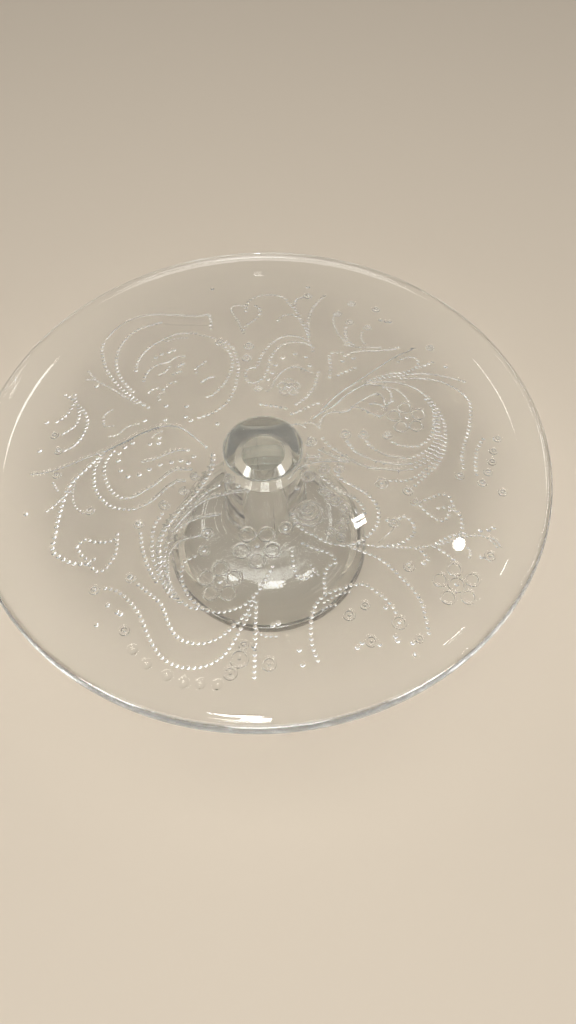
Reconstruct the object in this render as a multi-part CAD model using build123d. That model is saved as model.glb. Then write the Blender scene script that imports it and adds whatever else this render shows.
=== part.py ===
from build123d import *
from math import cos, radians, sin
import os

# Footed glass plate, the base of a cheese dome set. Millimetres, +Z up, with the origin on the
# table under the middle of the foot. It is three pieces:
#   plate      a pressed glass disc, its rim turned up along an arc and ending in a full round lip
#   bond_film  the thin clear adhesive that holds the stem's flat top under the plate
#   pedestal   a hollow stem and bell foot, pressed in one piece of glass

# Whole object
overall_height = 75.0
plate_diameter = 200.0

# Plate
plate_thickness = 4.0
rim_bend_radius = 16.0  # of the wall's middle line
rim_bend_angle = 28.0  # degrees above the horizontal where the lip begins

# Bond between the stem and the plate
bond_thickness = 0.2
bond_inset = 0.3  # of the film's edge from the edge of the stem's flat top

# Pedestal, outside
foot_diameter = 85.0
stem_top_diameter = 28.2
stem_base_diameter = 34.0
shoulder_height = 25.0  # where the stem's side would meet the bell without its fillet
bell_drop = 3.0  # of the bell's top, from the stem out to its bend
bell_side_run = 6.5  # of the bell's side, from its bend out to the edge of the foot
foot_edge_height = 3.0
stem_edge_chamfer = 0.6
stem_fillet = 6.0
bell_bend_radius = 18.0
bell_hem_radius = 6.0
foot_edge_radius = 1.2

# Pedestal, hollow
foot_wall = 4.2  # between the bell's outside and the hollow
hollow_roof = 5.0  # of glass between the hollow and the stem's flat top
hollow_top_diameter = 15.4
hollow_base_diameter = 22.0
hollow_roof_radius = 2.0

# Heights that follow from the sizes above
lip_rise = rim_bend_radius * (1 - cos(radians(rim_bend_angle)))
plate_top = overall_height - lip_rise
plate_underside = plate_top - plate_thickness
stem_top = plate_underside - bond_thickness


def turned(outline):
    """The solid turned about Z from a closed outline in the XZ plane."""
    return revolve(make_face(outline), Axis.Z)


def make_plate():
    """The plate: a wall whose middle line is flat, then bends up to the middle of the round lip."""
    half = plate_thickness / 2
    bend_run = rim_bend_radius * sin(radians(rim_bend_angle))
    lip_centre = Vector(plate_diameter / 2 - half, 0, overall_height - half)
    bend_centre = Vector(lip_centre.X - bend_run, 0, plate_top - half + rim_bend_radius)

    def on_bend(radius, angle):
        """The point on a circle about the bend's centre, at an angle from straight down."""
        return bend_centre + Vector(sin(radians(angle)), 0, -cos(radians(angle))) * radius

    def bend(radius):
        """The bend's arc at a radius, from the flat to the lip."""
        return ThreePointArc(*[on_bend(radius, rim_bend_angle * t) for t in (0, 0.5, 1)])

    top = bend(rim_bend_radius - half)
    underside = bend(rim_bend_radius + half)
    outward = Vector(cos(radians(rim_bend_angle)), 0, sin(radians(rim_bend_angle)))
    lip = ThreePointArc(top @ 1, lip_centre + outward * half, underside @ 1)
    middle = Polyline(underside @ 0, (0, 0, plate_underside), (0, 0, plate_top), top @ 0)
    return turned([top, lip, underside, middle])


def make_bond_film():
    """The film: a disc between the stem's flat top and the plate."""
    radius = stem_top_diameter / 2 - stem_edge_chamfer - bond_inset
    film = Cylinder(radius, bond_thickness, align=(Align.CENTER, Align.CENTER, Align.MIN))
    return Pos(0, 0, stem_top) * film


def moved_inwards(before, corner, after, wall):
    """A corner of an outline moved into the glass, so that both its sides move by the wall."""
    first = Vector(0, 1, 0).cross(corner - before).normalized()
    second = Vector(0, 1, 0).cross(after - corner).normalized()
    return corner + (first + second) * (wall / (1 + first.dot(second)))


def make_pedestal():
    """The pedestal: its outside, its hollow and the flat ring that it stands on."""
    foot_radius = foot_diameter / 2
    stem_centre = Vector(0, 0, stem_top)
    stem_edge = Vector(stem_top_diameter / 2, 0, stem_top)
    shoulder = Vector(stem_base_diameter / 2, 0, shoulder_height)
    bend = Vector(foot_radius - bell_side_run, 0, shoulder_height - bell_drop)
    hem = Vector(foot_radius, 0, foot_edge_height)
    foot_edge = Vector(foot_radius, 0, 0)

    inner_hem = moved_inwards(bend, hem, foot_edge, foot_wall)
    inner_bend = moved_inwards(shoulder, bend, hem, foot_wall)
    inner_slope = (bend - shoulder).Z / (bend - shoulder).X
    hollow_base_radius = hollow_base_diameter / 2
    hollow_base = Vector(
        hollow_base_radius, 0, inner_bend.Z + inner_slope * (hollow_base_radius - inner_bend.X)
    )
    roof = Vector(hollow_top_diameter / 2, 0, stem_top - hollow_roof)
    roof_centre = Vector(0, 0, roof.Z)
    mouth = Vector(inner_hem.X, 0, 0)

    outside = FilletPolyline(
        stem_centre, stem_edge, shoulder, bend, hem, foot_edge,
        radius=[0, stem_fillet, bell_bend_radius, bell_hem_radius],
    )
    hollow = FilletPolyline(
        mouth, inner_hem, inner_bend, hollow_base, roof, roof_centre,
        radius=[
            bell_hem_radius - foot_wall,
            bell_bend_radius - foot_wall,
            stem_fillet + foot_wall,
            hollow_roof_radius,
        ],
    )
    standing_ring = Line(foot_edge, mouth)
    pedestal = turned([outside, standing_ring, hollow, Line(roof_centre, stem_centre)])

    foot_corner = pedestal.edges().group_by(Axis.Z)[0].sort_by(SortBy.RADIUS)[-1]
    pedestal = fillet(foot_corner, foot_edge_radius)
    stem_corner = pedestal.edges().group_by(Axis.Z)[-1].sort_by(SortBy.RADIUS)[-1]
    return chamfer(stem_corner, stem_edge_chamfer)


os.makedirs("parts", exist_ok=True)
for name, piece in {
    "plate": make_plate(),
    "bond_film": make_bond_film(),
    "pedestal": make_pedestal(),
}.items():
    export_step(piece, f"parts/{name}.step")
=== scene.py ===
"""The dressed model of a footed glass plate, whose underside is pressed with beaded scrollwork.

Lengths are millimetres up to the mesh, where MM turns them into metres. X runs to the right, Y away
from the camera and Z up, with the origin on the table under the middle of the foot, as in the frame.
"""

import logging
from dataclasses import dataclass, field
from enum import Enum
from math import pi, radians, tan

import bpy
import numpy as np
from mathutils import Matrix, Vector
from mathutils.geometry import delaunay_2d_cdt

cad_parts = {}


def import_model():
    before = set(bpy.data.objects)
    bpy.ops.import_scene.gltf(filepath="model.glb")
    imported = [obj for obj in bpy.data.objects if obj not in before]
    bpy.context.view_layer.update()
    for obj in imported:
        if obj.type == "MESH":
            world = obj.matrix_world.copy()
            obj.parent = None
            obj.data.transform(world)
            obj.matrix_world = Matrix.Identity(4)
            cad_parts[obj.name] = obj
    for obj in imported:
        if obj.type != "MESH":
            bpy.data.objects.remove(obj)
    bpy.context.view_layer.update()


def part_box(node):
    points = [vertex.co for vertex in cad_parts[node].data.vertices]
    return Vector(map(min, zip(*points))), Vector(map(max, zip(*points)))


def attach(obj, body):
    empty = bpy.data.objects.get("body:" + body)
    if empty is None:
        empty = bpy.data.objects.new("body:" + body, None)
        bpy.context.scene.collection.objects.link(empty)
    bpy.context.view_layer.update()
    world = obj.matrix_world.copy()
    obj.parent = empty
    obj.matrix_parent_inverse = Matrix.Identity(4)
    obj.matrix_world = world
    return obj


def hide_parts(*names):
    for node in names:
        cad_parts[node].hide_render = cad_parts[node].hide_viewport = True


MM = 0.001
log = logging.getLogger("footed_plate")

ON_AXIS = 1e-6  # a radius under which a point counts as a pole

Pair = tuple[float, float]
Point = tuple[float, float]
Place = tuple[float, float, float]
Corner = tuple[float, float, float]


# ---------------------------------------------------------------------------------------------
# Meshes
# ---------------------------------------------------------------------------------------------


@dataclass
class Surface:
    """Points, their normals and the faces between them, as whole arrays."""

    points: np.ndarray
    normals: np.ndarray
    faces: list[np.ndarray]

    def as_object(self, name: str) -> bpy.types.Object:
        """Put the surface into a new smooth mesh object at the origin.

        Args:
            name: The object's name.

        Returns:
            The object, linked to the scene.
        """
        corners = np.concatenate([faces.ravel() for faces in self.faces]).astype(np.int32)
        sides = np.concatenate([np.full(len(faces), faces.shape[1]) for faces in self.faces])
        mesh = bpy.data.meshes.new(name)
        mesh.vertices.add(len(self.points))
        mesh.vertices.foreach_set("co", (self.points * MM).ravel())
        mesh.loops.add(len(corners))
        mesh.loops.foreach_set("vertex_index", corners)
        mesh.polygons.add(len(sides))
        mesh.polygons.foreach_set("loop_start", (np.cumsum(sides) - sides).astype(np.int32))
        mesh.update(calc_edges=True)
        mesh.polygons.foreach_set("use_smooth", np.ones(len(sides), bool))
        mesh.normals_split_custom_set_from_vertices(self.normals.tolist())
        mesh.update()
        piece = bpy.data.objects.new(name, mesh)
        bpy.context.scene.collection.objects.link(piece)
        return piece


@dataclass
class Outline:
    """Half of a turned piece's section: radius, height and outward normal at each point."""

    places: np.ndarray
    normals: np.ndarray

    @staticmethod
    def arc(
        centre: Point, radius: float, start: float, end: float, steps: int, side: float = 1.0
    ) -> "Outline":
        """Points on an arc about a centre: centre + radius * (cos a, sin a).

        Args:
            centre: The arc's centre, as radius and height.
            radius: The arc's radius.
            start: The first point's angle in degrees, from the radius axis towards +Z.
            end: The last point's angle in degrees.
            steps: How many chords the arc has.
            side: 1 where the glass is inside the arc, -1 where it is outside.

        Returns:
            The arc as an outline.
        """
        turn = np.radians(np.linspace(start, end, steps + 1))
        spokes = np.stack([np.cos(turn), np.sin(turn)], axis=1)
        return Outline(np.array(centre) + radius * spokes, side * spokes)

    @staticmethod
    def rounded(corners: list[Corner], chord: float = 5.0) -> "Outline":
        """Straight runs joined by tangent arcs, with the glass on the right of the way along.

        Each arc leaves its runs at radius * tan(turn / 2) from the corner, where turn is the angle
        between the two runs.

        Args:
            corners: Radius, height and corner radius of each corner, in order.
            chord: The most degrees that one chord of an arc turns.

        Returns:
            The whole outline.
        """
        places, normals = [], []
        xz = np.array([corner[:2] for corner in corners], float)
        ways = np.diff(xz, axis=0)
        ways /= np.linalg.norm(ways, axis=1)[:, None]
        outward = np.stack([-ways[:, 1], ways[:, 0]], axis=1)
        places.append(xz[:1])
        normals.append(outward[:1])
        for i in range(1, len(corners) - 1):
            before, after = ways[i - 1], ways[i]
            turn = np.arctan2(before[0] * after[1] - before[1] * after[0], before @ after)
            radius = corners[i][2]
            start = xz[i] - before * radius * tan(abs(turn) / 2)
            steps = max(2, int(np.ceil(np.degrees(abs(turn)) / chord)))
            angles = np.linspace(0, turn, steps + 1)
            first = outward[i - 1]
            spokes = np.stack(
                [
                    first[0] * np.cos(angles) - first[1] * np.sin(angles),
                    first[0] * np.sin(angles) + first[1] * np.cos(angles),
                ],
                axis=1,
            )
            side = -np.sign(turn)
            places.append(start - side * radius * first + side * radius * spokes)
            normals.append(spokes)
        places.append(xz[-1:])
        normals.append(outward[-1:])
        return Outline(np.vstack(places), np.vstack(normals))

    def then(self, other: "Outline") -> "Outline":
        """This outline with another one after it."""
        return Outline(
            np.vstack([self.places, other.places]), np.vstack([self.normals, other.normals])
        )

    def turned(self, angles: np.ndarray, raised: np.ndarray | None = None) -> Surface:
        """Turn the outline about Z: x = r cos a, y = r sin a, z as it is.

        Points on the axis become one pole each. Where the surface is raised along its normal by
        h(a), the normal leans back along the turn by the slope of h.

        Args:
            angles: The angles of the copies in radians, rising, without the closing one.
            raised: How far each point is raised along its normal, by angle and outline point.

        Returns:
            The closed surface, with faces outward.
        """
        count, length = len(angles), len(self.places)
        across = np.cos(angles)[:, None], np.sin(angles)[:, None]
        r, z = self.places.T
        nr, nz = self.normals.T
        points = np.stack([across[0] * r, across[1] * r, np.ones((count, 1)) * z], axis=2)
        normals = np.stack([across[0] * nr, across[1] * nr, np.ones((count, 1)) * nz], axis=2)
        if raised is not None:
            spacing = np.roll(angles, -1) - np.roll(angles, 1)
            spacing = np.where(spacing < 0, spacing + 2 * pi, spacing)[:, None]
            slope = (np.roll(raised, -1, axis=0) - np.roll(raised, 1, axis=0)) / spacing
            slope = slope / np.maximum(r, 1.0)
            along = np.stack([-across[1], across[0], np.zeros((count, 1))], axis=2)
            points = points + normals * raised[..., None]
            normals = normals - along * slope[..., None]
            normals /= np.linalg.norm(normals, axis=2)[..., None]
        index = np.arange(count * length).reshape(count, length)
        after = np.roll(index, -1, axis=0)
        ring = np.flatnonzero(r > ON_AXIS)
        inner, outer = ring[:-1], ring[1:]
        quads = np.stack(
            [index[:, inner], index[:, outer], after[:, outer], after[:, inner]], axis=2
        ).reshape(-1, 4)
        fans = []
        for pole, next_to_it in ((0, 1), (length - 1, length - 2)):
            if r[pole] <= ON_AXIS:
                pair = (index[:, next_to_it], after[:, next_to_it])
                pair = pair if pole == 0 else pair[::-1]
                fans.append(np.stack([np.full(count, index[0, pole]), *pair], axis=1))
        return Surface(points.reshape(-1, 3), normals.reshape(-1, 3), [quads, *fans])


def curve_through(points: tuple[Point, ...], step: float) -> np.ndarray:
    """A smooth curve through points, as even steps along its length.

    Between two points the curve is a cubic whose slope at each is half the way from the point
    before to the point after, and at an end half the way to its neighbour.

    Args:
        points: The points, at least two.
        step: About how far apart the steps are.

    Returns:
        The steps as rows of x and y, the ends included.
    """
    knots = np.array(points, float)
    slopes = np.gradient(knots, axis=0)
    slopes[0] /= 2
    slopes[-1] /= 2
    t = np.linspace(0, 1, 25)[:-1, None]
    spans = [
        a * (2 * t**3 - 3 * t**2 + 1)
        + da * (t**3 - 2 * t**2 + t)
        + b * (3 * t**2 - 2 * t**3)
        + db * (t**3 - t**2)
        for a, b, da, db in zip(knots[:-1], knots[1:], slopes[:-1], slopes[1:])
    ]
    fine = np.vstack([*spans, knots[-1:]])
    run = np.concatenate([[0], np.cumsum(np.linalg.norm(np.diff(fine, axis=0), axis=1))])
    even = np.linspace(0, run[-1], max(2, round(run[-1] / step) + 1))
    return np.stack([np.interp(even, run, fine[:, 0]), np.interp(even, run, fine[:, 1])], axis=1)


# ---------------------------------------------------------------------------------------------
# Ornament: what is pressed into the underside, seen from above
# ---------------------------------------------------------------------------------------------


class Bead(Enum):
    """The mould cutter's round punches: radius and height of a bead, and the pitch along a row."""

    FINE = (0.52, 0.37, 1.4)
    PLAIN = (0.72, 0.51, 1.75)
    BOLD = (0.92, 0.65, 2.0)

    @property
    def radius(self) -> float:
        """The bead's radius where it meets the plate."""
        return self.value[0]

    @property
    def height(self) -> float:
        """How far the bead stands out of the plate."""
        return self.value[1]

    @property
    def pitch(self) -> float:
        """How far apart the beads of a row are."""
        return self.value[2]


@dataclass(frozen=True)
class Rib:
    """A smooth half-round rib along a curve."""

    points: tuple[Point, ...]
    width: float = 1.5
    height: float = 0.5


@dataclass(frozen=True)
class BeadRow:
    """Beads side by side along a curve, which may begin in a small ring round a bead.

    On a rope, the beads sit on a rib of core_height, so that they run together.
    """

    points: tuple[Point, ...]
    head: float = 0.0
    bead: Bead = Bead.PLAIN
    core_height: float = 0.0

    def core(self) -> list[Rib]:
        """The rib under the beads, if there is one."""
        return [Rib(self.points, 2 * self.bead.radius, self.core_height)] if self.core_height else []


@dataclass(frozen=True)
class RingDot:
    """A raised ring round a raised dot."""

    centre: Point
    radius: float = 1.6
    dot: float = 0.7


@dataclass(frozen=True)
class Flower:
    """Petals, each a raised ring, round a raised middle."""

    centre: Point
    petals: int = 5
    spread: float = 4.8
    petal_radius: float = 2.5
    turned: float = 90.0


@dataclass
class Motif:
    """One motif of the ornament: everything in it that the mould leaves raised."""

    rows: list[BeadRow] = field(default_factory=list)
    ribs: list[Rib] = field(default_factory=list)
    rings: list[RingDot] = field(default_factory=list)
    dots: list[Point] = field(default_factory=list)
    bosses: list[Point] = field(default_factory=list)
    flowers: list[Flower] = field(default_factory=list)


def row(*points: Point, head: float = 0.0, bead: Bead = Bead.PLAIN) -> BeadRow:
    """A bead row through the points, with a ring of that radius at the first one."""
    return BeadRow(points, head, bead)


def rope(*points: Point, head: float = 0.0, bead: Bead = Bead.FINE) -> BeadRow:
    """A row whose beads run together on a rib."""
    return BeadRow(points, head, bead, core_height=0.24)


def long_ribs() -> Motif:
    """The smooth ribs that run outward between the medallions, and the beads that go on from one.

    Returns:
        The motif.
    """
    return Motif(
        ribs=[
            Rib(((18.5, 14.5), (21.5, 18), (25, 22.5), (30, 27.2), (36, 32), (43.5, 38.2), (50, 43.3),
                 (56.5, 47)), width=1.7, height=0.55),
            Rib(((18.5, 14.3), (22, 17), (26, 19.8), (30, 24.2), (34, 27.3), (39, 30.6)), width=1.7,
                height=0.55),
            Rib(((-20, 1), (-24, 5), (-28, 8.5), (-32, 10.2), (-37.5, 10), (-44, 7), (-50, 3), (-56, -0.8)),
                width=1.9, height=0.55),
        ],
        rows=[
            rope((-37.5, 10), (-44, 7), (-50, 3), (-56, -0.8), (-63, -4.3), (-70, -8), (-74.5, -9.7),
                 (-80, -10.8), bead=Bead.PLAIN),
            row((-55, 5.3), (-53, 5.6), (-51.5, 7), (-50, 9), (-48, 10.2), (-45.5, 10.8), bead=Bead.FINE),
            row((-55.8, 17.4), (-57.3, 16.2), (-58.3, 14), (-58, 11.5), (-57.5, 10), (-54.5, 10),
                bead=Bead.FINE),
        ],
        dots=[(-43.3, 12.5), (-35.8, 12.8), (-28.5, 14.2), (-26.5, 12.5), (-16.7, 10.9)],
    )


def upper_left_medallion() -> Motif:
    """Nested scrolls behind and to the left of the stem.

    Returns:
        The motif.
    """
    return Motif(
        rows=[
            row((-21.7, 59), (-21.8, 62.5), (-22.9, 66.5), (-25, 66), (-30, 65.7), (-37, 66.3),
                (-43, 66.6), (-47.5, 66.2)),
            row((-63.2, 50.5), (-63.4, 47), (-62.5, 43.3), (-60.5, 37.5), (-57.5, 32.5), (-53.5, 27.5),
                (-49, 23.5), (-44.5, 20)),
            row((-42, 62), (-46.5, 60.2), (-50, 58.6), (-53.5, 55), (-55.8, 50.8), (-57, 46), (-57, 40.5),
                (-56, 36), (-52.5, 30), (-49, 26)),
            row((-27.5, 56), (-33.5, 56), (-37.5, 54.5), (-41, 52), (-44.5, 49), (-47.5, 44.5), (-49, 40),
                (-49, 36.5)),
            row((-31, 53.7), (-35, 53.3), (-38.5, 51.8), bead=Bead.FINE),
            row((-25.5, 55), (-22.5, 54.3), (-19.8, 53.3), bead=Bead.FINE),
            row((-17.5, 51.3), (-15.3, 48.3), (-13.3, 44.8), (-12.3, 40), (-12.8, 36.3), (-14.3, 31.5),
                (-16.3, 28), (-19, 24.7), (-21, 23.7), head=1.5),
            row((-15.5, 51.5), (-12.5, 48), (-10.8, 43), (-10, 37), (-10.5, 31), (-11.5, 26), (-13.5, 21),
                (-17, 17.3), (-20, 15.3), (-23.5, 13.8)),
            row((-26, 35.7), (-26.2, 38), (-24.5, 39.2), (-23, 41)),
            row((-23.3, 31), (-21.5, 32.7), (-19.5, 33.3)),
            row((-37, 41), (-35.5, 42.5), (-33.7, 43.7), (-31.5, 43.9)),
            row((-39.7, 34.6), (-38, 35.7), (-36.5, 38.5)),
            row((-34.7, 34.7), (-32, 36.2)),
            row((-45.5, 31.5), (-45.2, 34), (-43.7, 37.3), (-41, 39.5), (-38.5, 40.5)),
            row((-43, 25.8), (-41.7, 27.3), (-40.2, 27.9)),
            row((-33.5, 31), (-35, 30.6), (-36.3, 29), (-37.8, 27.2)),
            row((-37.5, 25.7), (-39, 24.7), (-39.3, 23.2), (-38.7, 22.2), bead=Bead.FINE),
            row((-44.2, 19.6), (-42.5, 18.6)),
            row((-67, 36.2), (-65.5, 34), (-63.5, 31.8), bead=Bead.FINE),
            row((-66.7, 32), (-64.3, 32), bead=Bead.FINE),
            row((-62.5, 31), (-57, 27.5), (-52, 23.8), (-47, 20.5), bead=Bead.FINE),
        ],
        ribs=[
            Rib(((-22.5, 60.8), (-30, 61), (-37, 61.3), (-42, 62)), width=2.6, height=0.16),
            Rib(((-47.5, 66.2), (-51, 65.3), (-56, 62.3), (-60, 58), (-62.3, 53.5)), width=1.2, height=0.3),
        ],
        dots=[(-40, 45), (-42, 43.3), (-37.2, 46), (-35.5, 47), (-31.5, 40), (-32.8, 38.7), (-36, 19.3),
              (-28.5, 19.1), (-63, 28.8), (-49, 23.3), (-78.7, 11.7), (-22.2, 81.3)],
    )


def back_leaf() -> Motif:
    """The leaf, the spray and the small medallion straight behind the stem.

    Returns:
        The motif.
    """
    return Motif(
        rows=[
            row((-8.5, 56), (-9.5, 58.3), (-11, 63), (-13, 66.5), (-13.9, 69.8), (-12, 71.6), (-9.2, 71.3),
                bead=Bead.FINE),
            row((-8.5, 58), (-7, 61), (-4.5, 63.3), (-2.3, 66.5), (-2.3, 69.3), (-4, 71.3)),
            row((-8, 68.3), (-7.6, 72.3), (-5.5, 75.5), (-1.5, 77.5), (2, 77.7), (5, 77.2), (8, 75.3),
                (9.5, 72.5), (11.7, 69.5), (14, 64.5), (16.5, 57.5), (17.2, 52)),
            row((11.5, 70.8), (12, 73), (13, 75.3), (16, 76.3)),
            row((24, 77), (22, 74.3), (19.5, 70.5), (17.8, 66), (17.1, 61.5), (17.3, 55)),
            row((5, 63), (7, 65.6), (10.3, 66.4), (12.3, 65.5), (14.2, 62.7), (15.7, 59)),
            row((16, 52.3), (13.2, 54), (9.5, 54.7), (6, 53.5), (3, 51), (0.5, 47.5), (-1.5, 43.5),
                (-2.6, 39.5), (-4, 37.7), (-6, 37.7), (-7.2, 35.5), (-6.7, 32), (-5, 30.3), (-2.5, 31),
                (0, 33.3), (1.3, 37.5), (2, 41.5), (3.2, 45), (5.5, 48.5), (8.5, 50.6), (12, 51.3),
                (16, 50.5), (18.3, 49), (18.7, 46.5)),
            rope((1, 26.3), (2.6, 28), (3.5, 30.8), (5.5, 34.3), (8, 37.2), (11, 38.3), (14, 37.8),
                 (18, 35.2)),
            row((20.5, 35.5), (19.6, 31.3), (18.5, 27.7), (16, 23.5), (12, 19.8)),
            row((-1, 20), (2, 19.3), (5, 18.8), (8, 18)),
            row((20, 20.3), (17.5, 19.3), (14.3, 17.4), (10.3, 15.3)),
        ],
        rings=[
            RingDot((17.3, 77), radius=1.3),
            RingDot((-6.3, 49.3), radius=1.6),
            RingDot((-7, 43), radius=1.5),
            RingDot((-2.3, 27.7), radius=1.2),
        ],
        dots=[(7, 42.9), (11.7, 45), (16, 43.4), (17.3, 38.8), (4.2, 39.2), (3, 35.3), (1.4, 32),
              (17.4, 82.2)],
        flowers=[Flower((9.3, 28.3), spread=2.9, petal_radius=1.4)],
    )


def back_right_plumes() -> Motif:
    """Plumes, leaves and sprays of dots behind and to the right of the stem.

    Returns:
        The motif.
    """
    return Motif(
        rows=[
            row((38.5, 30.8), (43, 32.8), (48, 34.7), (52, 35), (55, 36), (58.5, 37.7), (61, 38.5),
                (64.5, 40.4)),
            row((44, 32.3), (48, 33.2), (52, 33.6), (55, 34.4), (60, 34.6), (64, 34.2), (68, 33.2),
                (72, 32), (75.3, 30.6)),
            row((68.4, -12), (69.8, -9.5), (70, -4), (71.5, 1), (73.8, 7), (75.3, 12.5), (76.2, 18.5),
                (75.5, 22.3), (73, 26), (70, 28.5), (66.5, 30.7), (62, 31.8), (57, 32.3), (52, 32.2),
                head=1.3),
            row((75.6, -15), (74.2, -11), (74.5, -6.5), (75.5, -2), (76.8, 0.7), (78.7, 3.7), head=1.3),
            row((51.3, 40.7), (53.3, 42.3), (57.5, 43), (59.2, 40.5), (58.2, 38)),
            row((24.8, 33), (25.3, 38), (25, 43), (26, 45.2), (29.8, 45.6)),
            row((28, 34), (31.5, 36), (34.5, 37.6)),
            row((31, 43.7), (34, 45.5), (38, 46.5), (43, 46.4), (50, 47.2), (52, 48.2)),
            row((31.5, 49.4), (34, 48.7), (36.5, 48.3), (40, 48.3), (45, 48), bead=Bead.FINE),
            row((27.7, 66.5), (27.2, 62), (28.2, 57.5), (30.3, 53), (33, 49.5), bead=Bead.FINE),
            row((32, 59), (31.8, 56), (32.5, 52), (34.5, 49.8)),
            row((38.3, 56.3), (37.8, 53), (39, 50.2), bead=Bead.FINE),
        ],
        rings=[
            RingDot(at, radius=1.2)
            for at in ((35, 72.5), (44.8, 69), (29.3, 66.7), (33.7, 62), (40.6, 59), (64.5, 48), (83.8, 3.7),
                       (81.5, -1.7), (80.3, -6.3), (78.2, -10.7), (82, -19))
        ],
        dots=[(46.1, 63), (48.2, 62.2), (49.8, 62), (30, 41.2), (34.2, 42.6), (69.3, 38)],
    )


def right_medallion() -> Motif:
    """Plumes that end in small rings, nested round a flower, to the right of the stem.

    Returns:
        The motif.
    """
    return Motif(
        rows=[
            rope((41, 30.5), (45, 30.7), (51, 30.1), (55.5, 28.2)),
            row((49.8, -18.2), (52, -16.5), (56, -12.5), (60, -8.5), (63, -4), (64.7, 1), (65.5, 6),
                (65.4, 12), (63.3, 18.6), (60, 24), (56.5, 27.5), head=1.5),
            row((29.5, 6), (30, 2.5), (32.5, -1.5), head=1.7),
            rope((33, -2), (36, -3.9), (41, -6.1), (46, -7.1), (51, -7)),
            row((52, -6.8), (55.5, -5.5), (59.5, -2), (62.3, 3), (63.4, 9), (63.3, 14.5), (61.7, 19),
                (60, 22)),
            row((36, 6), (37.5, 1.5), (40, -1), head=1.6),
            rope((41, -1.8), (44, -3.4), (49, -4.5)),
            row((50, -4.5), (53, -4.2), (57, -2), (60.3, 1), (62, 5.5), (62.4, 11), (62.3, 16)),
            row((44.6, 5.5), (46, 2.8), (48.5, 1.1), (52, 0.5), (55.5, 0.9), (59, 3.3), (61, 7), (62, 12),
                head=1.4),
            row((21.3, 4.2), (22.8, 1.7), (25, -0.5)),
            rope((25.5, -1), (28.5, -3.3), (31.5, -5.7), (35, -7.7), (41, -9), (47, -9.6), (51, -9.4)),
            row((52, -9.2), (56, -7), (60, -4), (62.7, 0), (64.3, 5)),
            rope((20, -0.8), (23, -2.7), (26.5, -4.6), (30, -6)),
            rope((15.5, -4), (18, -3.8), (20.5, -3.7)),
            rope((9, -13), (12, -9), (15.5, -7), (20, -5.9), (25, -5.7), (29, -5.9)),
            row((41, -15), (42.8, -14.1), (46, -14), (49.5, -13.9), (54, -12), (58, -8.3), (61.5, -4.2),
                (63.5, 1), head=1.9),
            rope((34.5, 28), (39, 29.4), (44, 28.8), (46, 28)),
            row((47, 27.8), (49.5, 26.7), (52.5, 23.3), (54, 19.7), bead=Bead.FINE),
            row((45, 28), (47.2, 25.5), (47.3, 22), bead=Bead.FINE),
            rope((31.5, 17.3), (34, 20), (37, 22.4), (42, 25), (44.3, 23.3), (45, 20)),
            rope((32.5, 18.7), (36, 18), (39.5, 15.6), (43, 14.4), (44.8, 16.5), (45.2, 19.5)),
            row((39.5, 20), (42, 20.1), (44, 18.7)),
            row((45.4, 19.7), (47.5, 21.3)),
            rope((31, 16.8), (28.5, 16.2), (25, 16.3), (22, 14.6), (20.8, 12), (20.2, 9)),
            row((9.3, 9.7), (11.5, 10.6), (13.5, 10.5), (15, 9.3), bead=Bead.FINE),
            row((15.3, 11), (17.5, 11.3), (20, 9.5), bead=Bead.FINE),
        ],
        rings=[RingDot((17, 2.6), radius=1.7)],
        flowers=[Flower((52.3, 13.4), spread=4.7, petal_radius=2.3, turned=22)],
    )


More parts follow.
